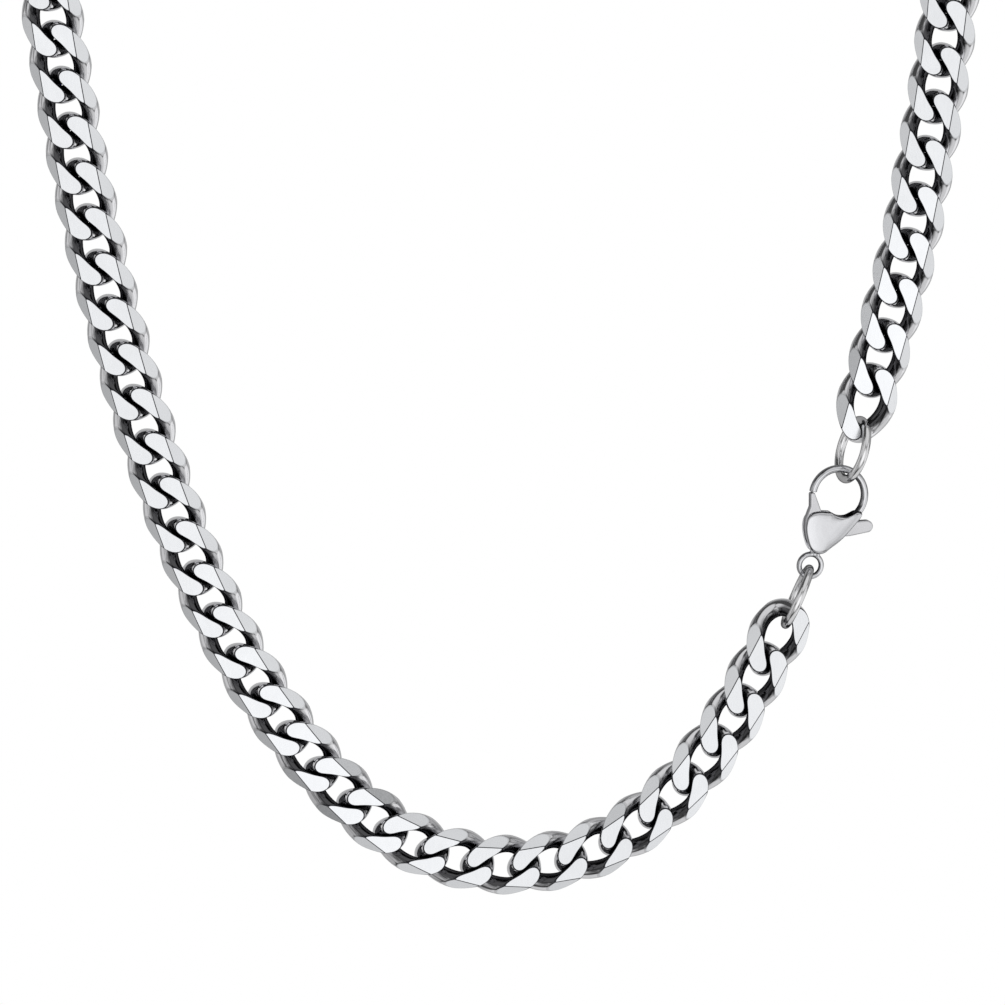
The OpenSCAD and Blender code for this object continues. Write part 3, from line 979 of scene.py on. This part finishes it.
recess = body_shape.verts.layers.float.new("recess")
for vert in body_shape.verts:
    facing = abs(vert.normal.y)
    painted_darkness = flank_painted_shade(vert.co, facing)
    if painted_darkness is None:
        painted_darkness = rim_painted_line(vert.co, facing)
    vert[recess] = max(hollow_painted_shade(vert.co, vert.normal), painted_darkness)
mean_painted_darkness = sum(vert[recess] for vert in body_shape.verts) / len(body_shape.verts)
print("tarnish, on average:", round(mean_painted_darkness, 3))

# %% Put the clasp in its place
bmesh.ops.transform(body_shape, matrix=clasp_place, verts=body_shape.verts)
for face in body_shape.faces:
    face.smooth = True
clasp_body = new_piece("clasp_body_cast", body_shape, [cast_steel], replaces=["clasp_body"])
print("clasp body:", len(clasp_body.data.polygons), "faces")

# %% [markdown]
# ## Lever
# The lever is stamped from thin plate: the gate, the part on the pin and the thumb tab in one
# outline. Its edges are tumbled round. The hole for the pin goes right through, so the fill
# between the outline and the hole is made first, and then pulled up to the lever's thickness.

# %% Draw the lever's outline
GATE_TIP = (-3.127, 10.856)
GATE_TIP_R = 0.4
TAB_CENTRE = on_face(0.808, 0.762)
TAB_R = 0.95
# Start and end of each arc in degrees, and its steps
GATE_ARC = (180, 20, 12)
TAB_ARC = (110, -70, 16)
TOP_SHARES = [(-0.14, 0.835), (-0.023, 0.64), (0.209, 0.64), (0.651, 0.829)]
UNDERSIDE_SHARES = [(0.547, 0.494), (0.174, 0.36), (0.047, 0.262), (-0.07, 0.177), (-0.174, 0.14),
                    (-0.244, 0.226), (-0.32, 0.396), (-0.36, 0.567), (-0.343, 0.835)]


def arc(centre, radius, start, end, steps):
    """Points on a circle from one angle to another, in degrees."""
    angles = [math.radians(start + (end - start) * k / steps) for k in range(steps + 1)]
    return [(centre[0] + radius * math.cos(a), centre[1] + radius * math.sin(a)) for a in angles]


lever_loop = (arc(GATE_TIP, GATE_TIP_R, *GATE_ARC) + [on_face(*point) for point in TOP_SHARES]
              + arc(TAB_CENTRE, TAB_R, *TAB_ARC) + [on_face(*point) for point in UNDERSIDE_SHARES])
print("lever outline:", len(lever_loop), "points")

# %% Stamp the lever
LEVER_T = 1.45
PIN_HOLE_R = 0.55
PIN_HOLE_SIDES = 32
pin_hole = arc(PIVOT, PIN_HOLE_R, 0, 360 * (PIN_HOLE_SIDES - 1) / PIN_HOLE_SIDES, PIN_HOLE_SIDES - 1)

lever_shape = bmesh.new()
for loop in (lever_loop, pin_hole):
    verts = [lever_shape.verts.new((u, -LEVER_T / 2, w)) for u, w in loop]
    for first, second in zip(verts, verts[1:] + verts[:1]):
        lever_shape.edges.new((first, second))
bmesh.ops.triangle_fill(lever_shape, use_beauty=True, edges=lever_shape.edges[:])
far_side, _ = raised(lever_shape, lever_shape.faces[:], keep=True)
bmesh.ops.translate(lever_shape, vec=(0, LEVER_T, 0), verts=far_side)
bmesh.ops.recalc_face_normals(lever_shape, faces=lever_shape.faces)
print("stamped lever:", len(lever_shape.faces), "faces")

# %% Round its edges
EDGE_ROUND = 0.2
EDGE_STEPS = 5
SHARP_ANGLE = 1.2
HOLE_MARGIN = 1.1


def is_outer_rim(edge):
    """True for a sharp edge round one face of the lever, but not round the pin's hole."""
    start, end = (vert.co for vert in edge.verts)
    sharp = edge.is_manifold and edge.calc_face_angle(0) > SHARP_ANGLE
    from_pin = math.hypot(start.x - PIVOT[0], start.z - PIVOT[1])
    return sharp and abs(start.y - end.y) < SAME_PLACE and from_pin > PIN_HOLE_R * HOLE_MARGIN


rims = [edge for edge in lever_shape.edges if is_outer_rim(edge)]
rounded = bmesh.ops.bevel(lever_shape, geom=rims, offset=EDGE_ROUND, segments=EDGE_STEPS,
                          profile=0.5, affect="EDGES", material=-1, clamp_overlap=False)["faces"]
for face in rounded:
    face.smooth = True
bmesh.ops.transform(lever_shape, matrix=clasp_place, verts=lever_shape.verts)
lever = new_piece("clasp_lever_plate", lever_shape, [lever_steel], body="lever",
                  replaces=["clasp_lever"])
print("lever:", len(lever.data.polygons), "faces,", len(rims), "rim edges rounded")

# %% [markdown]
# ## Pin
# The pin is riveted and ground flush on the real clasp, and hidden between the plates. The
# CAD cylinder has the right shape already, so it stays and only takes the clasp's steel.

# %% Finish the hidden pin
pin_mesh = frame["nodes"]["lever_pin"].data
pin_mesh.materials.clear()
pin_mesh.materials.append(cast_steel)
print("pin finish:", pin_mesh.materials[0].name)
